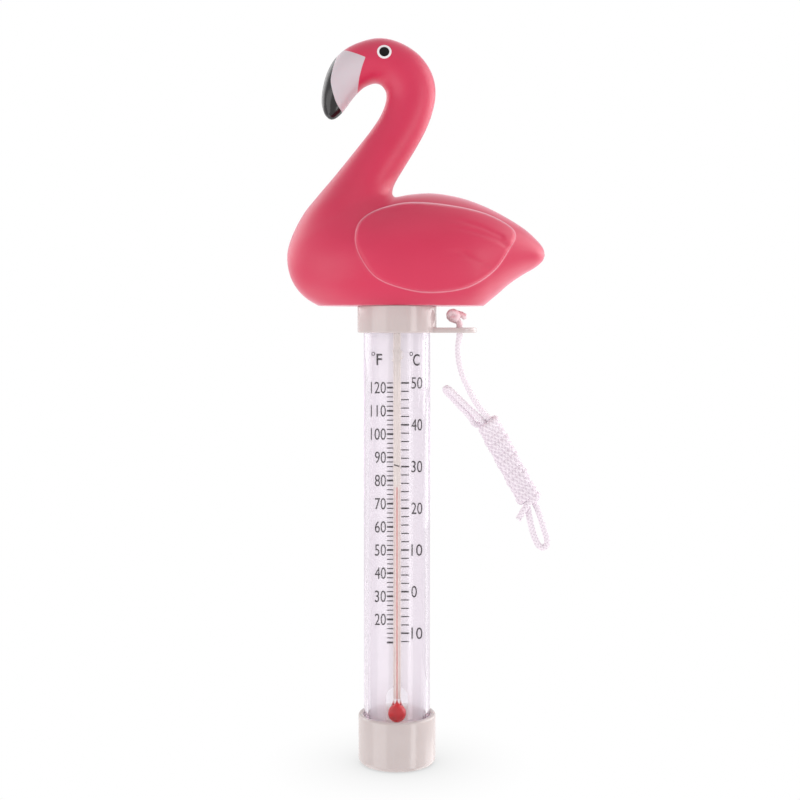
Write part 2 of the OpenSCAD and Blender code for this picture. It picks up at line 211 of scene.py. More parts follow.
cord_white, n = new_finish("cord_white_braid")
low_z, high_z = 0.09, 0.14
# Painted shade: the yarns are coloured darker where the braid is low, in the gaps between them
painted_gap_shade = maths(n, "POWER", point_mark(n, "braid_height"), 0.7)
place = n.new("ShaderNodeTexCoord").outputs["Object"]
height = feed(n.new("ShaderNodeSeparateXYZ"), {"Vector": place}).outputs["Z"]
# Painted light by height: the cord's upper stretch is tinted lighter, and the knot and the cord just under the float
# take a painted pink bounce light from the float
painted_light_by_height = colour_steps(n, ranged(n, height, (0, 1), (low_z, high_z)), [
    ((z - low_z) / (high_z - low_z), tint) for z, tint in (
        (0.098, (1, 0.93, 0.97, 0)), (0.107, (1, 0.93, 0.97, 0.3)),
        (0.1295, (1, 0.93, 0.97, 0.3)), (0.1335, (1, 0.85, 0.88, 0.95)))])
yarn_tone_with_painted_shade = mixed(n, painted_gap_shade, (0.60, 0.50, 0.58, 1), (0.93, 0.845, 0.905, 1))
feed(n["Principled BSDF"], {
    "Base Color": mixed(n, painted_light_by_height["Alpha"], yarn_tone_with_painted_shade, painted_light_by_height["Color"]),
    "Roughness": 0.72, "Sheen Weight": 0.25, "Sheen Roughness": 0.4,
    "Normal": bumped(n, noise(n, 5200, 3), 0.3, 0.0001)})

lead_route = [[19, 0, 134.2], [19, 0, 132], [19, 0, 129.6], [18.6, 0, 126.4], [18.9, 0, 122.4], [20, 0, 118.1],
              [22.3, 0, 113], [24.5, 0, 109.2], [26.7, 0, 106.4], [28.2, 0, 104.5], [29.44, 0, 102.32],
              [32.31, 0, 97.06], [35.18, 0, 91.79], [38.05, 0, 86.52], [40.9, 0, 81.3], [42.4, 0, 78.3],
              [43.6, 0, 75.2], [44.8, 0, 71.4], [45.7, 0, 68.3], [45.7, 0, 66.5], [44.4, 0, 65.5],
              [42.9, 0, 66.6], [41.7, 0, 69.4], [40.8, 0, 72.6], [40.1, 0, 76], [39.4, 0, 79.3],
              [38.21, 0, 82.05], [36.3, 0, 85.56], [33.43, 0, 90.83], [30.55, 0, 96.1], [27.68, 0, 101.37],
              [26.4, 0.1, 103.6], [24.8, 0.4, 105.4], [22.6, 0.5, 107.4], [20.1, 0.4, 109.8], [17.6, 0.2, 112.2],
              [16, 0, 113.7], [15.1, 0.3, 114.2], [14.8, 1, 113.6], [15.4, 1.5, 112.7], [17, 1.8, 111.1],
              [19, 2, 108.9], [21, 2.1, 106.9], [22.7, 2.1, 104.9], [23.9, 2.05, 103.1]]
tail_route = [[39.5, -2, 78.9], [38.7, -2.1, 77.7], [37.9, -2.1, 76.4], [37.1, -2, 75.0]]
winding_top = np.array([27.6, 0, 103.6])
along = np.array([0.48, 0, -0.88]) / math.hypot(0.48, 0.88)
across = np.array([-along[2], 0, along[0]])
turns, pitch, core_half, wrap_r = 13.5, 2.0, 0.95, 1.8
half_turn = math.pi * wrap_r
turn_at = np.arange(0, turns + 1e-9, 1 / 48)
run = (turn_at % 1) * (2 * half_turn + 4 * core_half)
near_bend = np.radians(90 - 180 * (run - core_half) / half_turn)
far_bend = np.radians(-90 - 180 * (run - 3 * core_half - half_turn) / half_turn)
stretch = [run < core_half, run < core_half + half_turn, run < 3 * core_half + half_turn,
           run < 3 * core_half + 2 * half_turn]
over = np.select(stretch, [run, core_half + wrap_r * np.cos(near_bend), 2 * core_half + half_turn - run,
                           -core_half + wrap_r * np.cos(far_bend)], run - 2 * half_turn - 4 * core_half)
depth = np.select(stretch, [0 * run + wrap_r, wrap_r * np.sin(near_bend), 0 * run - wrap_r,
                            wrap_r * np.sin(far_bend)], wrap_r)
uneven = 0.15 * np.sin(2 * np.pi * turn_at / 2.7) + 0.08 * np.sin(2 * np.pi * turn_at / 1.6 + 1)
slack = 1 + 0.05 * np.sin(2 * np.pi * turn_at / 3.3 + 2)
winding = winding_top + np.outer(turn_at * pitch + uneven - uneven[0], along)
winding += np.outer(over * slack, across) + np.outer(depth * slack, [0, 1, 0])
into = (winding[1] - winding[0]) / np.linalg.norm(winding[1] - winding[0])
lead_in = 1.5
lead = smooth_route(np.vstack([lead_route, [winding[0] - lead_in * into], winding[:1]]), 10)[:-1]
tail = smooth_route(np.vstack([winding[-1:], tail_route]), 10)[1:]
route = np.vstack([lead, winding, tail])
cord_line, cord_at = even_steps(route, cord_step)

# The turns of the winding press each other flat, and the painted shade in the gaps of their braid is made deeper
flat_share, ease, tail_free = 0.6, 3, 6
before_winding = even_steps(route[:len(lead)], cord_step)[1][-1]
in_winding = np.clip((cord_at - before_winding) / ease, 0, 1)
in_winding *= np.clip((cord_at[-1] - tail_free - cord_at) / ease, 0, 1)
points, braid = braid_rings(cord_line, cord_at, cord_d / 2, cord_around, (flat_share * in_winding, along))
tether = mesh_piece("tether_cord", points, skin_faces(len(cord_line), cord_around), cord_white)
mark_points(tether, "braid_height", braid ** (1 + np.repeat(in_winding, cord_around)))

# Stopper knot: the cord's upper end, turned once round itself over the lug and pulled tight, so that it can't
# slip through the hole. Its cut end stands out.
knot_route = [[19, 0, 132.4], [19, 0.1, 133.6], [18.6, 0.7, 134.6], [17.6, 1.0, 134.9], [16.4, 0.8, 135.4],
              [15.9, 0.2, 136.4], [16.5, -0.5, 137.3], [17.6, -0.9, 137.2], [18.3, -1.0, 136.2],
              [17.7, -1.1, 135.2], [16.9, -0.2, 135.9], [18.0, 0.5, 136.8], [19.4, 0.3, 136.6],
              [20.4, -0.2, 136.0], [21.0, -0.5, 135.4]]
knot_line, knot_at = even_steps(smooth_route(knot_route, 10), knot_step)
points, braid = braid_rings(knot_line, knot_at, cord_d / 2, cord_around)
knot = mesh_piece("tether_stopper_knot", points, skin_faces(len(knot_line), cord_around), cord_white)
mark_points(knot, "braid_height", braid)

# Frayed end: the yarns of the same braid stand out of the cord's bare end, where it was cut and neither
# melted nor tied.
seed = np.random.default_rng(7)
points, faces = [], []
yarns, yarn_r, yarn_rings, yarn_around = 14, 0.17, 6, 6
tip = cord_line[-1]
way = (tip - cord_line[-8]) / np.linalg.norm(tip - cord_line[-8])
for yarn in range(yarns):
    turn, spread = 2 * math.pi * yarn / yarns + seed.uniform(-0.2, 0.2), seed.uniform(0.25, 0.75)
    out = np.array([math.cos(turn), math.sin(turn), 0])
    out = out - way * (way @ out)
    long = seed.uniform(0.9, 1.7)
    line = np.array([tip + way * (f * long - 0.6) + out * (spread + 0.45 * f * f)
                     for f in np.linspace(0, 1, yarn_rings)])
    rings, _ = braid_rings(line, np.linspace(0, long, yarn_rings), yarn_r, yarn_around)
    faces += skin_faces(yarn_rings, yarn_around, len(points) * yarn_rings * yarn_around)
    points.append(rings)
fray = mesh_piece("tether_frayed_end", np.vstack(points), faces, cord_white)
mark_points(fray, "braid_height", [0.8] * len(fray.data.vertices))

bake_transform(tether)
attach(fray, "tether")
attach(knot, "thermometer")
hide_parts("tether_lead", "tether_winding", "tether_tail")
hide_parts("tether_knot")


# Bottom cap: a beige injection-moulded cup with a rounded lower edge, glued over the end of the tube.
# Its satin skin has the faint grain of the mould.
cap_r, cap_h, socket_r, cap_floor = 11.8, 15, 10.25, 2


# An outline with its corners rounded, each to its own radius
def rounded_corners(corners, radii, steps=8):
    out, count = [], len(corners)
    for i in range(count):
        p, r = np.array(corners[i], float), radii[i]
        if r <= 0:
            out.append(p)
            continue
        to_a, to_b = np.array(corners[i - 1]) - p, np.array(corners[(i + 1) % count]) - p
        to_a, to_b = to_a / np.linalg.norm(to_a), to_b / np.linalg.norm(to_b)
        half = math.acos(float(np.clip(to_a @ to_b, -1, 1))) / 2
        hub = p + (to_a + to_b) / np.linalg.norm(to_a + to_b) * r / math.sin(half)
        start, end = p + to_a * r / math.tan(half) - hub, p + to_b * r / math.tan(half) - hub
        a0, a1 = math.atan2(start[1], start[0]), math.atan2(end[1], end[0])
        sweep = (a1 - a0 + math.pi) % (2 * math.pi) - math.pi
        out += [hub + r * np.array([math.cos(a0 + sweep * k / steps), math.sin(a0 + sweep * k / steps)])
                for k in range(steps + 1)]
    return np.array(out)


# A closed outline of radius and height turned about the tube's axis; an outline may touch the axis
def turned_piece(name, outline, material, segments=128, sharp_deg=50):
    points, ring_of = [], []
    for r, z in outline:
        if r < 1e-6:
            ring_of.append([len(points)] * segments)
            points.append((0, 0, z))
        else:
            ring_of.append(list(range(len(points), len(points) + segments)))
            points += [(r * math.cos(2 * math.pi * k / segments), r * math.sin(2 * math.pi * k / segments), z)
                       for k in range(segments)]
    faces = []
    for a, b in zip(ring_of, ring_of[1:] + ring_of[:1]):
        if a[0] == a[1] and b[0] == b[1]:
            continue
        for k in range(segments):
            m = (k + 1) % segments
            corners = [a[k], a[m], b[m], b[k]]
            faces.append(tuple(dict.fromkeys(corners)))
    return mesh_piece(name, points, faces, material, sharp_deg)


beige, n = new_finish("beige_moulding_satin")
cloud = noise(n, 160, 4)
feed(n["Principled BSDF"], {
    "Base Color": mixed(n, cloud, (0.54, 0.46, 0.45, 1), (0.60, 0.52, 0.51, 1)),
    "Roughness": ranged(n, cloud, (0.13, 0.2)),
    "Subsurface Weight": 0.12, "Subsurface Radius": (0.004, 0.003, 0.0026), "Subsurface Scale": 0.5,
    "Normal": bumped(n, noise(n, 2600), 0.12, 0.00005)})
cap = turned_piece("bottom_cap_moulding", rounded_corners(
    [(0, 0), (cap_r, 0), (cap_r, cap_h), (socket_r, cap_h), (socket_r, cap_floor), (0, cap_floor)],
    [0, 1.6, 0.75, 0.5, 0.3, 0]), beige)
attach(cap, "thermometer")
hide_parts("bottom_cap")


# Ballast weight and foam pad: a turned steel slug lies in the bottom of the tube and keeps it upright, and keeps
# its solid's shape. A pad of pale firm foam on it bears the bulb and the plate, and stands up behind the plate.
steel, n = new_finish("turned_steel")
lathe = n.new("ShaderNodeTexWave")
lathe.wave_type, lathe.rings_direction = "RINGS", "Z"
place = n.new("ShaderNodeTexCoord").outputs["Object"]
feed(lathe, {"Vector": place, "Scale": 900, "Distortion": 1})
feed(n["Principled BSDF"], {"Metallic": 1, "Base Color": (0.45, 0.46, 0.47, 1),
                            "Roughness": ranged(n, lathe.outputs["Fac"], (0.3, 0.48))})
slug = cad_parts["ballast_weight"].data
slug.materials.clear()
slug.materials.append(steel)

foam, n = new_finish("pale_foam")
place = n.new("ShaderNodeTexCoord").outputs["Object"]
cells = feed(n.new("ShaderNodeTexVoronoi"), {"Vector": place, "Scale": 1400}).outputs["Distance"]
feed(n["Principled BSDF"], {"Base Color": mixed(n, cells, (0.80, 0.77, 0.74, 1), (0.93, 0.91, 0.89, 1)),
                            "Roughness": 0.9})
pad_r, pad_foot, pad_top, pad_back, pad_around = 8.5, 9.5, 12.27, 3.9, 96
foot_round, top_round = 0.2, 0.4
pad_rim = [(pad_r - foot_round + foot_round * math.sin(a), foot_round - foot_round * math.cos(a), 0)
           for a in np.radians([0, 30, 60, 90])]
pad_rim += [(pad_r, 0, share) for share in (0.35, 0.65)]
pad_rim += [(pad_r - top_round + top_round * math.cos(a), 0, 1) for a in np.radians([0, 45, 90])]
pad_rim += [(r, 0, 1) for r in np.linspace(7.8, 0.6, 25)]
points = [(0, 0, pad_foot)]
for r, rise, share in pad_rim:
    for a in np.radians(np.arange(pad_around) * 360 / pad_around):
        behind = np.clip((r * math.sin(a) - 2.2) / 2.6, 0, 1)
        top = pad_top + pad_back * behind * behind * (3 - 2 * behind) - 0.35 * np.clip((r - 7.7) / 0.8, 0, 1) ** 2
        points.append((r * math.cos(a), r * math.sin(a), pad_foot + rise + share * (top - pad_foot)))
faces = skin_faces(len(pad_rim), pad_around, 1)
faces[-2:-1] = [(0, 1 + (k + 1) % pad_around, 1 + k) for k in range(pad_around)]
pad = mesh_piece("foam_pad", points, faces, foam, 60)
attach(pad, "thermometer")
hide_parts("bulb_cushion")


# Capillary: a drawn glass stem with a blown bulb, sealed at the top, and a strip of cream enamel fused in its
# back. It stands on the foam pad and is stuck to the plate by a bead of clear adhesive.
bulb_z, stem_r, bulb_r, stem_top = 15.05, 1.15, 2.75, 133.1
neck_r, neck_z, neck_h = 2.2, bulb_z + 1.655, 2.9


# Lamps and bounced light reach what lies inside a clear piece without being bent, and a ray that is caught in
# its walls leaves them
def let_light_through(finish, tint):
    n = finish.node_tree.nodes
    path = n.new("ShaderNodeLightPath").outputs
    lighting = maths(n, "MAXIMUM", path["Is Shadow Ray"], path["Is Diffuse Ray"])
    unbent = maths(n, "MAXIMUM", lighting, maths(n, "GREATER_THAN", path["Ray Depth"], 4.5))
    open_way = feed(n.new("ShaderNodeBsdfTransparent"), {"Color": tint})
    share = feed(n.new("ShaderNodeMixShader"), {
        "Fac": unbent, 1: n["Principled BSDF"].outputs["BSDF"], 2: open_way.outputs["BSDF"]})
    feed(n["Material Output"], {"Surface": share.outputs["Shader"]})


glass, n = new_finish("drawn_glass")
feed(n["Principled BSDF"], {
    "Base Color": (0.985, 0.975, 0.96, 1), "Transmission Weight": 1, "IOR": 1.28,
    "Roughness": ranged(n, noise(n, 700, stretch=(1, 1, 0.02)), (0.01, 0.05))})
let_light_through(glass, (0.985, 0.975, 0.96, 1))
outline = [(bulb_r * math.cos(a), bulb_z + bulb_r * math.sin(a)) for a in np.radians(np.linspace(-90, 37, 26))]
outline += [(stem_r + (neck_r - stem_r) * (1 - f) ** 2, neck_z + neck_h * f) for f in np.linspace(0.08, 1, 10)]
outline += [(stem_r * math.cos(a), stem_top - stem_r + stem_r * math.sin(a))
            for a in np.radians(np.linspace(0, 90, 10))]
outline[0], outline[-1] = (0, bulb_z - bulb_r), (0, stem_top)
stem = turned_piece("capillary_stem", outline, glass, 48)

enamel, n = new_finish("cream_enamel")
feed(n["Principled BSDF"], {
    "Base Color": mixed(n, noise(n, 300), (0.86, 0.81, 0.76, 1), (0.94, 0.90, 0.85, 1)), "Roughness": 0.5})
enamel_out, enamel_in, enamel_foot, enamel_top = 0.93, 0.8, 19.2, 131
fan = np.radians(np.linspace(20, 160, 15))
ring = [(enamel_out * math.cos(a), enamel_out * math.sin(a)) for a in fan]
ring += [(enamel_in * math.cos(a), enamel_in * math.sin(a)) for a in fan[::-1]]
points = [(x, y, z) for z in np.linspace(enamel_foot, enamel_top, 3) for x, y in ring]
strip = mesh_piece("capillary_enamel", points, skin_faces(3, len(ring)), enamel, 40)

# Red spirit: dyed alcohol that fills the bulb and stands in the bore as a fine thread. Its rounded top rises and
# falls with the temperature.
spirit, n = new_finish("red_spirit_fluid")
feed(n["Principled BSDF"], {
    "Base Color": mixed(n, noise(n, 900, 3), (0.38, 0.002, 0.008, 1), (0.95, 0.012, 0.022, 1)),
    "Roughness": 0.12, "Specular IOR Level": 0.15})
fill_r, thread_r, level_z, top_h = 2.35, 0.082, 82.0, 1.75
outline = [(fill_r * math.cos(a), bulb_z + fill_r * math.sin(a)) for a in np.radians(np.linspace(-90, 40, 22))]
outline += [(thread_r + (1.68 - thread_r) * (1 - f) ** 2.4, bulb_z + 1.414 + 3.1 * f)
            for f in np.linspace(0.08, 1, 10)]
outline += [(0, bulb_z + 4.52)]
outline[0] = (0, bulb_z - fill_r)
fill = turned_piece("spirit_in_bulb", outline, spirit, 40)
heights = np.linspace(bulb_z, level_z, 60)
outline = [(0, heights[0])] + [(thread_r, z) for z in heights] + [(0, level_z)]
thread = turned_piece("spirit_thread_fine", outline, spirit, 16)
outline = [(0, level_z - 0.05), (thread_r, level_z - 0.05), (thread_r, level_z + top_h)]
outline += [(thread_r * math.cos(a), level_z + top_h + 0.25 * math.sin(a)) for a in np.radians([30, 60])]
outline += [(0, level_z + 2)]
top = turned_piece("spirit_top", outline, spirit, 16)
for piece, node_name in ((stem, "capillary_glass"), (fill, "bulb_spirit"), (thread, "spirit_thread"),
                         (top, "spirit_meniscus")):
    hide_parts(node_name)
for piece in (stem, strip, fill):
    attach(piece, "thermometer")
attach(top, "spirit_level")
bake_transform(thread)


# Scale plate: a strip of milky clear plastic that stands behind the stem, cut out in an arch round the bulb.
# Its edges are polished and its faces are a little hazy.
clear_strip, n = new_finish("clear_strip")
feed(n["Principled BSDF"], {
    "Base Color": (0.955, 0.935, 0.957, 1), "Transmission Weight": 0.55, "IOR": 1.3,
    "Roughness": ranged(n, noise(n, 120), (0.02, 0.09))})
let_light_through(clear_strip, (0.97, 0.96, 0.97, 1))
plate_y, plate_t, plate_half, foot_z, head_z, arch_r, arch_z = 1.25, 0.8, 8.2, 12.3, 136.9, 3.3, 19.5875
edge = [(-plate_half, head_z), (-plate_half, foot_z), (-arch_r, foot_z)]
edge += [(arch_r * math.cos(a), arch_z + arch_r * math.sin(a)) for a in np.radians(np.linspace(0, 180, 25))][::-1]
edge += [(arch_r, foot_z), (plate_half, foot_z), (plate_half, head_z)]
points = [(x, plate_y, z) for x, z in edge] + [(x, plate_y + plate_t, z) for x, z in edge]
count = len(edge)
faces = [tuple(range(count)), tuple(reversed(range(count, 2 * count)))]
faces += [((k + 1) % count, k, k + count, (k + 1) % count + count) for k in range(count)]
plate = mesh_piece("scale_strip", points, faces, clear_strip, 30)
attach(plate, "thermometer")
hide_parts("scale_plate")

# Printed scales: dark grey degree lines and numbers on the strip's front, Fahrenheit on the left and Celsius
# on the right, screen printed before the strip goes into the tube.
ink, n = new_finish("dark_grey_ink")
feed(n["Principled BSDF"], {
    "Base Color": mixed(n, noise(n, 900), (0.014, 0.010, 0.011, 1), (0.034, 0.026, 0.028, 1)), "Roughness": 0.55})

tick_rows = bpy.data.node_groups.new("degree_lines", "GeometryNodeTree")
tick_rows.is_modifier = True
for name, kind, value in (("Lines", "NodeSocketInt", 32), ("First", "NodeSocketVector", (0, 0, 0)),
                          ("Step", "NodeSocketFloat", 0.001), ("Length", "NodeSocketFloat", 0.002),
                          ("Thickness", "NodeSocketFloat", 0.0003), ("Ten Thickness", "NodeSocketFloat", 0.0004),
                          ("Ten Offset", "NodeSocketInt", 0), ("Outward", "NodeSocketFloat", 1.0)):
    tick_rows.interface.new_socket(name, in_out="INPUT", socket_type=kind).default_value = value
tick_rows.interface.new_socket("Geometry", in_out="OUTPUT", socket_type="NodeSocketGeometry")
n = tick_rows.nodes
given = n.new("NodeGroupInput").outputs
rise = feed(n.new("ShaderNodeCombineXYZ"), {"Z": given["Step"]})
row = feed(n.new("GeometryNodeMeshLine"), {
    "Count": given["Lines"], "Start Location": given["First"], "Offset": rise.outputs["Vector"]})
from_ten = maths(n, "ADD", n.new("GeometryNodeInputIndex").outputs["Index"], given["Ten Offset"])
is_ten = maths(n, "LESS_THAN", maths(n, "MODULO", from_ten, 5), 0.5)
thick = mixed(n, is_ten, given["Thickness"], given["Ten Thickness"], "FLOAT")
line_size = feed(n.new("ShaderNodeCombineXYZ"), {"X": given["Length"], "Y": 1, "Z": thick})
bar = feed(n.new("GeometryNodeMeshCube"), {"Size": (1, 0.00003, 1)})
lay = feed(n.new("GeometryNodeInstanceOnPoints"), {
    "Points": row.outputs["Mesh"], "Instance": bar.outputs["Mesh"], "Scale": line_size.outputs["Vector"]})
shift = feed(n.new("ShaderNodeCombineXYZ"), {"X": maths(n, "MULTIPLY", given["Length"], given["Outward"])})
push = feed(n.new("GeometryNodeTranslateInstances"), {
    "Instances": lay.outputs["Instances"], "Translation": shift.outputs["Vector"], "Local Space": False})
real = feed(n.new("GeometryNodeRealizeInstances"), {"Geometry": push.outputs["Instances"]})
inked = feed(n.new("GeometryNodeSetMaterial"), {"Geometry": real.outputs["Geometry"], "Material": ink})
feed(n.new("NodeGroupOutput"), {"Geometry": inked.outputs["Geometry"]})

print_y, ink_t = plate_y - 0.03, 0.03
zero_c, per_c, per_f = 51.9, 1.272, 1.272 / 1.8
for name, settings in (
        ("degree_lines_fahrenheit", {
            "Lines": 57, "First": (-0.0011, print_y / 1000, (zero_c - 22 * per_f) / 1000),
            "Step": per_f * 2 / 1000, "Length": 0.0020, "Thickness": 0.00030,
            "Ten Thickness": 0.00058, "Ten Offset": 0, "Outward": -0.5}),
        ("degree_lines_celsius", {
            "Lines": 32, "First": (0.00127, print_y / 1000, (zero_c - 12 * per_c) / 1000),
            "Step": per_c * 2 / 1000, "Length": 0.0024, "Thickness": 0.00032,
            "Ten Thickness": 0.00050, "Ten Offset": 4, "Outward": 0.5})):
    carrier = bpy.data.objects.new(name + "_row", bpy.data.meshes.new(name + "_row"))
    scene.collection.objects.link(carrier)
    rows = carrier.modifiers.new("lines", "NODES")
    rows.node_group = tick_rows
    for item in tick_rows.interface.items_tree:
        if item.in_out == "INPUT" and item.name in settings:
            rows[item.identifier] = settings[item.name]
    seen = carrier.evaluated_get(bpy.context.evaluated_depsgraph_get())
    mesh = bpy.data.meshes.new_from_object(seen)
    mesh.name = name
    bpy.data.objects.remove(carrier)
    lines = bpy.data.objects.new(name, mesh)
    scene.collection.objects.link(lines)
    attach(lines, "thermometer")

digits_wide, digit_tall, left_end, right_start = {1: 1.7, 2: 3.4, 3: 4.75}, 3.54, -3.41, 4.4
numbers = []
for degree in range(20, 121, 10):
    wide = digits_wide[len(str(degree))]
    numbers.append((str(degree), left_end - wide, left_end, zero_c + (degree - 32) * per_f, digit_tall, 0))
for degree in range(-10, 51, 10):
    wide = digits_wide[len(str(abs(degree)))]
    numbers.append((str(abs(degree)), right_start, right_start + wide, zero_c + degree * per_c, digit_tall, 0))
numbers += [("°", -7.92, -6.7, 124.34, 1.25, 0), ("F", -6.3, -4.56, 122.64, 3.42, 0.012)]
numbers += [("°", 3.8, 4.9, 124.34, 1.25, 0), ("C", 4.91, 6.95, 122.5, 3.58, 0.012)]
points, faces = [], []
for words, left, right, z, tall, bolder in numbers:
    curve = bpy.data.curves.new("number", "FONT")
    curve.body, curve.size, curve.resolution_u = words, 1.0, 4
    curve.extrude, curve.offset = 0.004, bolder
    carrier = bpy.data.objects.new("number", curve)
    scene.collection.objects.link(carrier)
    raised = bpy.data.meshes.new_from_object(carrier.evaluated_get(bpy.context.evaluated_depsgraph_get()))
    co = np.array([v.co for v in raised.vertices])
    co = (co - co.min(axis=0)) / np.ptp(co, axis=0)
    first = len(points)
    points += [(left + (right - left) * u, print_y + 0.005 - ink_t * front, z + tall * (v - 0.5))
               for u, v, front in co]
    faces += [tuple(first + k for k in poly.vertices) for poly in raised.polygons]
    bpy.data.objects.remove(carrier)
    bpy.data.meshes.remove(raised)
    bpy.data.curves.remove(curve)
figures = mesh_piece("scale_numbers", points, faces, ink, 30)
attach(figures, "thermometer")

# Calibration mark: a short slanted line of the same ink, drawn by hand round the front of the stem to set the
# glass against the scale.
mark_z, mark_half, mark_slope, mark_steps = 90.6, 0.2, 0.26, 13
low, high = stem_r + 0.005, stem_r + 0.03
mark_edges = [(low, -mark_half), (high, -mark_half), (high, mark_half), (low, mark_half)]
points = [(r * math.cos(a), r * math.sin(a), mark_z - mark_slope * r * math.cos(a) + rise)
          for a in np.radians(np.linspace(-140, -48, mark_steps)) for r, rise in mark_edges]
mark = mesh_piece("calibration_mark", points, [face[::-1] for face in skin_faces(mark_steps, 4)], ink, 40)
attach(mark, "thermometer")

# Adhesive bead: clear glue that holds the stem to the strip near its top, set in a flat-topped drop that is
# not quite round.
clear_glue, n = new_finish("clear_bead")
feed(n["Principled BSDF"], {
    "Base Color": (0.975, 0.975, 0.975, 1), "Transmission Weight": 1, "IOR": 1.3,
    "Roughness": ranged(n, noise(n, 900), (0.05, 0.2))})
let_light_through(clear_glue, (0.98, 0.98, 0.98, 1))
bead_x, bead_z, bead_r, bead_deep, bead_rings, bead_around = -0.2, 123.9, 2.1, 2.18, 23, 40
points = []
for a in np.radians(np.linspace(2, 178, bead_rings)):
    reach = bead_r * math.sqrt(math.sin(a))
    deep = math.copysign(bead_deep * math.sqrt(abs(math.cos(a))), math.cos(a))
    for t in np.arange(bead_around) * 2 * math.pi / bead_around:
        swell = 1 + 0.04 * math.sin(2 * t + 1) + 0.03 * math.sin(3 * t)
        points.append((bead_x + reach * swell * math.cos(t), min(-deep, plate_y - 0.02),
                       bead_z + reach * swell * math.sin(t)))
bead = mesh_piece("adhesive_bead", points, [face[::-1] for face in skin_faces(bead_rings, bead_around)], clear_glue)
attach(bead, "thermometer")
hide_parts("glue_dot")


# Clear tube: an extruded acrylic tube with polished cut ends, glued into the cap below and the collar above.
# Faint draw lines run along it.
acrylic, n = new_finish("clear_acrylic")
feed(n["Principled BSDF"], {
    "Base Color": (0.955, 0.938, 0.957, 1), "Transmission Weight": 1, "IOR": 1.12,
    "Roughness": ranged(n, noise(n, 500, stretch=(1, 1, 0.015)), (0.0, 0.03)),
    "Coat Weight": 0.35, "Coat Roughness": 0.03})
body_tint = feed(n.new("ShaderNodeVolumeAbsorption"), {"Color": (0.45, 0.2, 0.45, 1), "Density": 40})
feed(n["Material Output"], {"Volume": body_tint.outputs["Volume"]})
let_light_through(acrylic, (0.98, 0.975, 0.98, 1))
tube_r, tube_bore, tube_foot, tube_top = 10.1, 8.7, 2, 137.1
tube = turned_piece("clear_tube_extrusion", rounded_corners(
    [(tube_bore, tube_foot), (tube_r, tube_foot), (tube_r, tube_top), (tube_bore, tube_top)], [0.15] * 4, 3),
    acrylic, 160)
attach(tube, "thermometer")
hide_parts("clear_tube")

# Adhesive in the cap's socket: a pale ring that has cured between the tube and the cap, just below the cap's
# rim. It was spread on the tube before the cap was pushed on.
cured_ring, n = new_finish("pale_adhesive")
feed(n["Principled BSDF"], {
    "Base Color": mixed(n, noise(n, 400), (0.84, 0.79, 0.81, 1), (0.93, 0.89, 0.91, 1)), "Roughness": 0.5})
ring_in, ring_out, ring_foot, ring_top = tube_r - 0.05, socket_r + 0.02, 6, 14.4
glue_ring = turned_piece("socket_adhesive", [
    (ring_in, ring_foot), (ring_out, ring_foot), (ring_out, ring_top), (ring_in, ring_top)], cured_ring)
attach(glue_ring, "thermometer")


# Collar: the beige moulding over the tube's upper end, with a spigot that plugs the float and a flat lug with a
# hole for the cord. Same satin plastic as the cap.
collar_r, collar_foot, spigot_r, spigot_bore, spigot_top, sole_z = 12, 131, 7.8, 6.2, 146.2, 139.2
collar_ring = turned_piece("collar_moulding", rounded_corners(
    [(socket_r, collar_foot), (collar_r, collar_foot), (collar_r, sole_z), (spigot_r, sole_z),
     (spigot_r, spigot_top), (spigot_bore, spigot_top), (spigot_bore, sole_z), (0, sole_z), (0, tube_top),
     (socket_r, tube_top)], [0.3, 0.5, 0.4, 0.2, 0.4, 0.3, 0.2, 0, 0, 0.2]), beige)
lug_x, lug_half, lug_root, hole_r = 19, 5.2, 10.6, 1.5
rim = [(lug_root, -lug_half)]
rim += [(lug_x + lug_half * math.cos(a), lug_half * math.sin(a)) for a in np.radians(np.linspace(-90, 90, 49))]
rim += [(lug_root, lug_half)]
hole = [(lug_x + hole_r * math.cos(a), hole_r * math.sin(a)) for a in np.radians(np.linspace(-180, 180, 52))[:-1]]
levels = [(131.0, 0.3), (131.09, 0.09), (131.3, 0), (132.3, 0), (132.51, 0.09), (132.6, 0.3)]
count, bore = len(rim), len(hole)
points = []
for z, inset in levels:
    for x, y in rim:
        out = np.array([x - lug_x, y]) if x > lug_x else np.array([0, y])
        out = out / np.linalg.norm(out) * inset
        points.append((x - out[0], y - out[1], z))
for z, inset in levels:
    points += [(x + (x - lug_x) / hole_r * inset, y + y / hole_r * inset, z) for x, y in hole]
rows = [count * k for k in range(len(levels))]
holes = [count * len(levels) + bore * k for k in range(len(levels))]
faces = []
for a, c in zip(rows, rows[1:]):
    faces += [(a + k, a + (k + 1) % count, c + (k + 1) % count, c + k) for k in range(count)]
for a, c in zip(holes, holes[1:]):
    faces += [(a + (k + 1) % bore, a + k, c + k, c + (k + 1) % bore) for k in range(bore)]


# The point of the hole's edge that is nearest to a point of the rim
def nearest_on_hole(start, rim_point):
    x, y, _ = points[rim_point]
    return min(range(bore), key=lambda j: (points[start + j][0] - x) ** 2 + (points[start + j][1] - y) ** 2)


for row, start, up in ((rows[0], holes[0], False), (rows[-1], holes[-1], True)):
    for k in range(count):
        m = (k + 1) % count
        from_j, to_j = nearest_on_hole(start, row + k), nearest_on_hole(start, row + m)
        inner = [start + (from_j + step) % bore for step in range((to_j - from_j) % bore, -1, -1)]
        face = [row + k, row + m] + inner
        faces.append(tuple(face) if up else tuple(reversed(face)))
lug = mesh_piece("tether_lug", points, faces, beige, 40)
for piece in (collar_ring, lug):
    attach(piece, "thermometer")
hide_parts("collar")
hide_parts("collar")


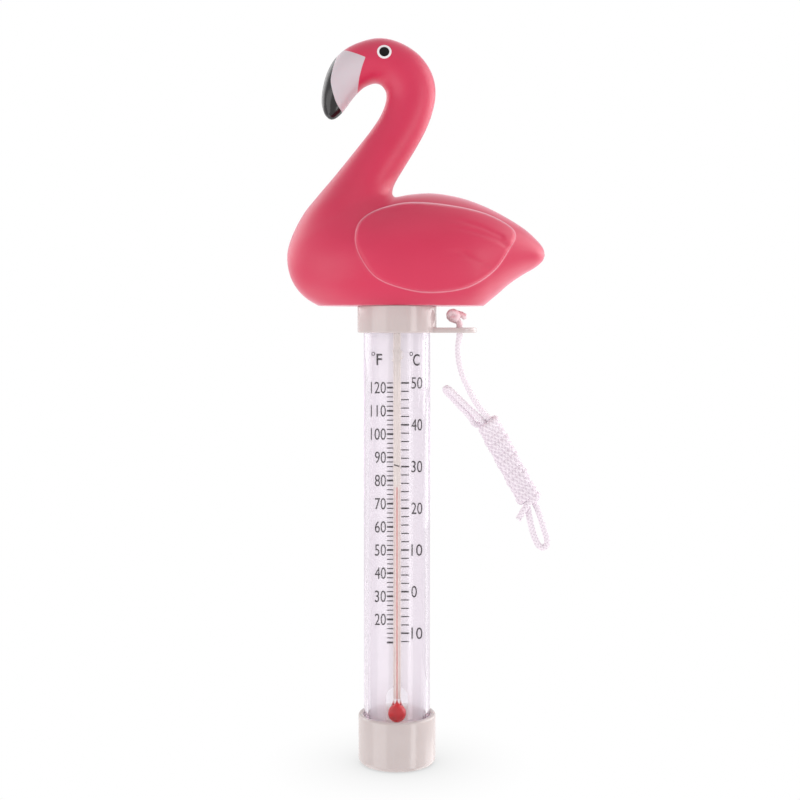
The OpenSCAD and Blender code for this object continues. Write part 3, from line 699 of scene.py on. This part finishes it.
# Flamingo float: a hollow soft-vinyl moulding, turned in the mould while it sets, with raised wings and a flat
# sole that sits on the collar. The eye and the beak are painted on after moulding.
bird_ribs = [[44.7, 15.9, 44.6, 14.7, 0.9], [44.3, 17.4, 44, 13.4, 3.2], [42.6, 19.6, 41.8, 11.5, 6.2],
             [39, 22.9, 38, 9.3, 9.4], [34.6, 25.8, 33.8, 6.4, 12.6], [28.5, 29.1, 28.9, 2.2, 16],
             [21.6, 31.9, 23.4, -1.6, 18.7], [15.5, 33.4, 14, -2.8, 20.3], [9.7, 34, 4, -3, 21],
             [4, 33.6, -6, -3, 21], [0.7, 33, -15, -2.4, 20.4], [-0.5, 32.9, -22.3, -0.6, 19.4],
             [-1.1, 33.3, -28.3, 2.9, 18], [-1.4, 33.9, -32, 8, 16.2], [-1.4, 34.6, -33.3, 14.2, 14.2],
             [-1.2, 35.6, -32.2, 20, 12.4], [-0.7, 36.9, -28.6, 27.3, 10.8], [0.2, 38.6, -24, 33.2, 9.4],
             [1.8, 41.2, -19.4, 38.6, 8.3], [3.9, 44.6, -15, 44, 7.5], [6.3, 48.6, -11, 49, 7],
             [8.7, 53.1, -7.6, 53.4, 6.7], [10.5, 57.8, -4.9, 57.6, 6.5], [11.6, 62.8, -3.4, 61.6, 6.4],
             [11.4, 67.4, -3.3, 64.4, 6.6], [9.7, 71.9, -4.4, 66.4, 6.9], [6.2, 76.2, -5.9, 67.3, 7.2],
             [0.8, 79.5, -7.3, 67.3, 7.4], [-5, 80.8, -8.7, 66.8, 7.3], [-10.6, 79.8, -10.3, 65.9, 6.8],
             [-15.4, 77.6, -12, 64.3, 6], [-19, 74.3, -13.6, 62.4, 5.2], [-21.3, 70, -15, 60.5, 4.6],
             [-22.5, 65.4, -16.2, 58.9, 4], [-22.8, 61.4, -17.3, 57.7, 3.3], [-22, 58.2, -18.6, 56.7, 2.2],
             [-20.9, 56.8, -19.5, 56.4, 0.9]]
wing_outline = [[-10.4, 13.4], [-6, 7.8], [1.6, 4.7], [10.2, 3.5], [20.6, 5], [28.4, 9.8], [33.1, 16.4],
                [35.1, 20.6], [33, 23.8], [25.8, 27.2], [15.4, 29.3], [5, 30.2], [-1.4, 29.4], [-7.6, 27],
                [-11.2, 23.6], [-12.1, 18.6]]
feather_grooves = [[[14, 25.1], [22.7, 23.1], [30.6, 19.9]], [[12.2, 22.8], [21.6, 21.3], [29.1, 19], [32.3, 17.2]],
                   [[12.2, 14.9], [18.4, 14.9], [21.6, 13.2], [26.5, 10.8]]]
wing_rise, wing_edge, wing_hub = 0.9, 0.8, np.array([10, 17])
groove_deep, groove_half, outside = 0.4, 0.75, -9.0
closed = smooth_route(wing_outline[-2:] + wing_outline + wing_outline[:3], 8)[16:-16]
wing_turn = np.unwrap(np.arctan2(closed[:, 1] - wing_hub[1], closed[:, 0] - wing_hub[0]))
wing_reach = np.hypot(closed[:, 0] - wing_hub[0], closed[:, 1] - wing_hub[1])


# From 0 to 1 with a gentle start and end
def smooth_rise(t):
    t = np.clip(t, 0, 1)
    return t * t * (3 - 2 * t)


# How far the wing and its feather grooves stand out of the side, seen from the side
def wing_relief(x, z):
    turn = np.arctan2(z - wing_hub[1], x - wing_hub[0])
    turn = wing_turn[0] + (turn - wing_turn[0]) % (2 * math.pi)
    reach = np.interp(turn, np.append(wing_turn, wing_turn[0] + 2 * math.pi), np.append(wing_reach, wing_reach[0]))
    inside = reach - np.hypot(x - wing_hub[0], z - wing_hub[1])
    relief = wing_rise * smooth_rise(inside / wing_edge)
    for groove in feather_grooves:
        line = smooth_route(groove, 12)
        gap = np.hypot(x[:, None] - line[None, :, 0], z[:, None] - line[None, :, 1])
        near = gap.argmin(axis=1)
        fade = smooth_rise(near / len(line) * 2.2) * smooth_rise(inside / 2)
        relief -= groove_deep * fade * np.exp(-(gap.min(axis=1) / groove_half) ** 2)
    return relief, inside


# Distance from a painted area's edge in the side view, positive inside
def paint_edge(x, z, area):
    a, c = np.array(area, float), np.roll(np.array(area, float), -1, axis=0)
    p = np.stack([x, z], axis=1)
    best, inside = np.full(len(p), 1e9), np.zeros(len(p), bool)
    for s, e in zip(a, c):
        t = np.clip(((p - s) @ (e - s)) / ((e - s) @ (e - s)), 0, 1)
        best = np.minimum(best, np.linalg.norm(p - s - t[:, None] * (e - s), axis=1))
        crosses = (s[1] > p[:, 1]) != (e[1] > p[:, 1])
        inside ^= crosses & (p[:, 0] < s[0] + (p[:, 1] - s[1]) / (e[1] - s[1] + 1e-12) * (e[0] - s[0]))
    return np.where(inside, best, -best)


ribs = smooth_route(bird_ribs, 9)
crown, sole = 84, 22
rings, wing_marks = [], []
for back_x, back_z, belly_x, belly_z, half_w in ribs:
    mid_x, mid_z = (back_x + belly_x) / 2, (back_z + belly_z) / 2
    up_x, up_z = back_x - mid_x, back_z - mid_z
    even = math.pi * crown / (crown + sole)
    reach = -mid_z / up_z if up_z > 0 else -2
    flat = reach > -1 and math.acos(min(reach, 1)) <= even
    turn = math.acos(min(reach, 1)) if flat else even
    a = np.concatenate([turn * np.arange(crown + 1) / crown, turn + (math.pi - turn) * np.arange(1, sole + 1) / sole])
    c, y = np.cos(a), half_w * np.sin(a)
    if flat:
        c[crown + 1:] = math.cos(turn)
        y[crown + 1:] = half_w * math.sin(turn) * (sole - np.arange(1, sole + 1)) / sole
    x, z = mid_x + up_x * c, np.maximum(mid_z + up_z * c, 0)
    relief, inside = wing_relief(x, z)
    relief[0] = 0
    inside[crown + 1:] = outside
    relief[crown + 1:] = 0
    side = np.stack([x, -y - relief, z], axis=1)
    rings.append(np.vstack([side, side[-2:0:-1] * [1, -1, 1]]))
    wing_marks.append(np.concatenate([inside, inside[-2:0:-1]]))
around = len(rings[0])
for end, inner in ((0, 1), (-1, -2)):
    hub = rings[end].mean(axis=0)
    away = hub - rings[inner].mean(axis=0)
    away /= np.linalg.norm(away)
    for share, push in ((0.75, 0.1), (0.4, 0.05)):
        rings.insert(0 if end == 0 else len(rings), hub + (rings[end] - hub) * share + away * push)
        wing_marks.insert(0 if end == 0 else len(wing_marks), np.full(around, outside))
points = np.vstack(rings)
faces = [face[::-1] for face in skin_faces(len(rings), around)]
beak_area = [(-9.35, 73.8), (-10.3, 71.3), (-11.2, 68.3), (-12.0, 64.0), (-13.5, 53), (-40, 53), (-40, 87.9)]
tip_area = smooth_route([(-17.2, 78), (-18.7, 73.1), (-19.6, 69.5), (-19.85, 67.3), (-19.5, 65.1), (-18.9, 62.8),
                         (-18.0, 60.5), (-16.2, 57.9), (-13, 53.5)], 5).tolist() + [(-40, 53.5), (-40, 78)]

vinyl, n = new_finish("pink_soft_vinyl")
cloud = noise(n, 60, 4)
wing_line = point_mark(n, "wing_inside")
# Painted highlight: a lighter pink line along the wing's raised edge, where the step catches the light
painted_wing_edge_highlight = colour_steps(n, ranged(n, wing_line, (0, 1), (-0.6, 0.6)), (
    (0.35, (0, 0, 0, 1)), (0.5, (1, 1, 1, 1)), (0.62, (1, 1, 1, 1)), (0.8, (0, 0, 0, 1))))
pink = mixed(n, cloud, (0.555, 0.0155, 0.065, 1), (0.62, 0.025, 0.085, 1))
colour = mixed(n, maths(n, "MULTIPLY", painted_wing_edge_highlight["Color"], 0.4), pink, (0.86, 0.30, 0.38, 1))
gloss, nap = ranged(n, cloud, (0.38, 0.48)), 0.7
# The beak's white paint is given darker and pinker than the eye's white: painted shade with painted pink reflected
# light
for mark, start, paint, shine in (("beak_paint", (-0.05, 0.05), (0.60, 0.51, 0.55, 1), 0.42),
                                  ("tip_paint", (-0.05, 0.05), (0.006, 0.004, 0.005, 1), 0.2),
                                  ("eye_paint", (-2.2, -2.1), (0.84, 0.80, 0.82, 1), 0.35),
                                  ("eye_paint", (-1.56, -1.46), (0.004, 0.003, 0.003, 1), 0.2)):
    painted = ranged(n, point_mark(n, mark), (0, 1), start, "SMOOTHSTEP")
    colour = mixed(n, painted, colour, paint)
    gloss, nap = mixed(n, painted, gloss, shine, "FLOAT"), mixed(n, painted, nap, 0.05, "FLOAT")
wing_step = ranged(n, wing_line, (0, 1), (-0.15, 0.35), "SMOOTHSTEP")
feed(n["Principled BSDF"], {
    "Base Color": colour, "Roughness": gloss,
    "Sheen Weight": nap, "Sheen Roughness": 0.35, "Sheen Tint": (1, 0.78, 0.88, 1),
    "Specular IOR Level": mixed(n, painted, 0.5, 0.12, "FLOAT"),
    "Subsurface Weight": 0.1, "Subsurface Radius": (0.004, 0.0012, 0.0014), "Subsurface Scale": 0.6,
    "Normal": bumped(n, wing_step, 0.6, 0.0004, bumped(n, noise(n, 1800), 0.08, 0.00005))})

bird = mesh_piece("flamingo_moulding", points + [0, 0, sole_z], faces, vinyl, 55)
eye, neck_foot = np.array([-3.75, 75.4]), 50
side_x, side_z = points[:, 0], points[:, 2]
for mark, value in (("beak_paint", paint_edge(side_x, side_z, beak_area)),
                    ("tip_paint", paint_edge(side_x, side_z, tip_area)),
                    ("eye_paint", -np.hypot(side_x - eye[0], side_z - eye[1]))):
    mark_points(bird, mark, np.where(side_z > neck_foot, value, outside))
mark_points(bird, "wing_inside", np.concatenate(wing_marks))
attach(bird, "thermometer")
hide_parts("flamingo_float")


# Studio: a white sweep that glows softly under the object, with a painted contact shadow where it stands, and a
# white world. Soft boxes stand at the front left and, narrower, at the front right, two rim boxes and two low ones
# light the back, and a side box and a small top box fill in.
sweep, n = new_finish("white_sweep")
world = bpy.data.worlds.new("white_studio")
world.use_nodes = True
scene.world = world


# White to the camera and to what mirrors or passes light, and dimmer as a lamp
def white_level(n, dim):
    path = n.new("ShaderNodeLightPath").outputs
    seen = maths(n, "MAXIMUM", path["Is Camera Ray"], path["Is Transmission Ray"])
    return ranged(n, maths(n, "MAXIMUM", seen, path["Is Glossy Ray"]), (dim, 1.0))


back = world.node_tree.nodes
feed(back["Background"], {"Color": (1, 1, 1, 1), "Strength": white_level(back, 0.53)})
n.remove(n["Principled BSDF"])
# Painted contact shadow: the sweep's glow is dimmed where the object stands close over it
painted_contact_shadow = feed(n.new("ShaderNodeAmbientOcclusion"), {"Distance": 0.03}).outputs["AO"]
glow = maths(n, "MULTIPLY", white_level(n, 0.82), ranged(n, painted_contact_shadow, (0.62, 1.0)))
lift = feed(n.new("ShaderNodeEmission"), {"Strength": glow})
passing = n.new("ShaderNodeLightPath").outputs
unseen = maths(n, "MAXIMUM", passing["Is Shadow Ray"], passing["Is Glossy Ray"])
share = feed(n.new("ShaderNodeMixShader"), {
    "Fac": unseen, 1: lift.outputs["Emission"], 2: n.new("ShaderNodeBsdfTransparent").outputs["BSDF"]})
feed(n["Material Output"], {"Surface": share.outputs["Shader"]})
far, floor_z = 4000, -0.05
floor = mesh_piece("floor", [(-far, -far, floor_z), (far, -far, floor_z), (far, far, floor_z), (-far, far, floor_z)],
                   [(0, 1, 2, 3)], sweep)

for name, spot, aim_z, wide, tall, watts in (
        ("soft_box_left", (-0.80, -0.60, -0.2), -0.2, 0.82, 1.2, 5.2),
        ("soft_box_right", (0.76, -0.65, -0.2), -0.2, 0.30, 1.2, 3.6),
        ("rim_box_left", (-0.8, 0.5, 0.57), 0.57, 0.8, 0.8, 3.8),
        ("rim_box_right", (0.88, 0.2, 0.57), 0.57, 0.8, 0.8, 5.6),
        ("low_box_left", (-0.5, 0.1, -0.5), 0.15, 0.5, 0.5, 0.9),
        ("low_box_right", (0.5, 0.25, -0.45), 0.15, 0.6, 0.6, 1.7),
        ("side_box_right", (0.78, 0.42, 0.12), 0.12, 0.7, 0.35, 1.8),
        ("top_box", (0, -0.55, 0.85), 0.05, 0.6, 0.6, 0.5)):
    lamp = bpy.data.lights.new(name, "AREA")
    lamp.shape, lamp.size, lamp.size_y, lamp.energy = "RECTANGLE", wide, tall, watts
    box = bpy.data.objects.new(name, lamp)
    box.location = spot
    toward = np.array([0, 0, aim_z]) - spot
    tilt = math.acos(-toward[2] / np.linalg.norm(toward))
    box.rotation_euler = (tilt, 0, math.atan2(toward[1], toward[0]) - math.pi / 2)
    scene.collection.objects.link(box)
